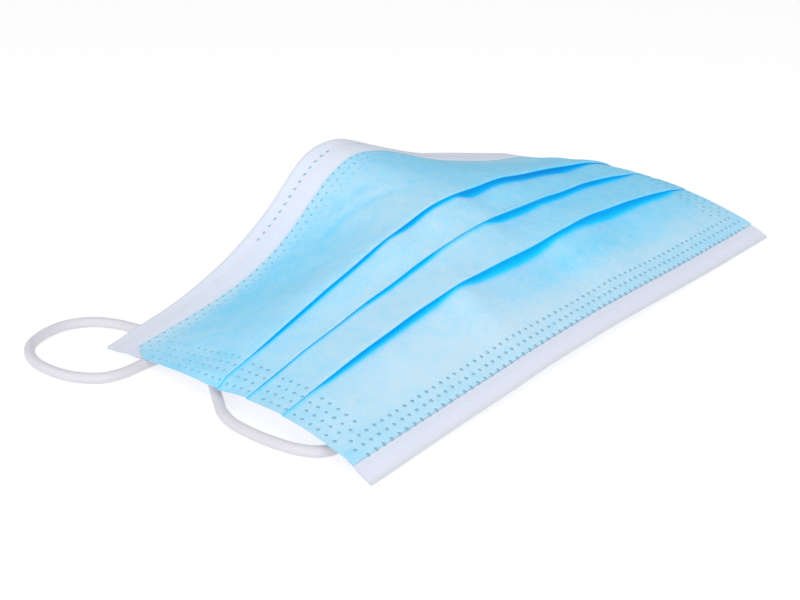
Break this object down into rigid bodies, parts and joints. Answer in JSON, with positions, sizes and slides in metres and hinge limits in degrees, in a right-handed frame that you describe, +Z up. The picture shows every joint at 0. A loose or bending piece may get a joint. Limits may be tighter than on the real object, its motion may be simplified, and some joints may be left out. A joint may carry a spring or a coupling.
{
  "type": "surgical face mask",
  "caption": "Flat-pleated surgical face mask lying blue side up, with white hems, a wired nose edge bent to a peak and round elastic ear loops.",
  "frame": {"origin": "on the table, under the middle of the mask's box without its ear loops", "axes": "+X along the width, +Y from the chin edge to the nose edge, +Z up from the table"},
  "size_m": [0.1879, 0.1078, 0.0331],
  "materials": {
    "blue_nonwoven": "soft matte spunbond polypropylene",
    "white_nonwoven": "soft matte spunbond polypropylene",
    "coated_wire": "polyethylene-coated flat wire",
    "white_elastic": "matte round knitted elastic"
  },
  "bodies": {
    "root": {"pleated_panel": "blue_nonwoven", "nose_band": "white_nonwoven", "chin_band": "white_nonwoven", "nose_wire": "coated_wire", "ear_loop_left": "white_elastic", "ear_loop_right": "white_elastic"}
  },
  "joints": []
}
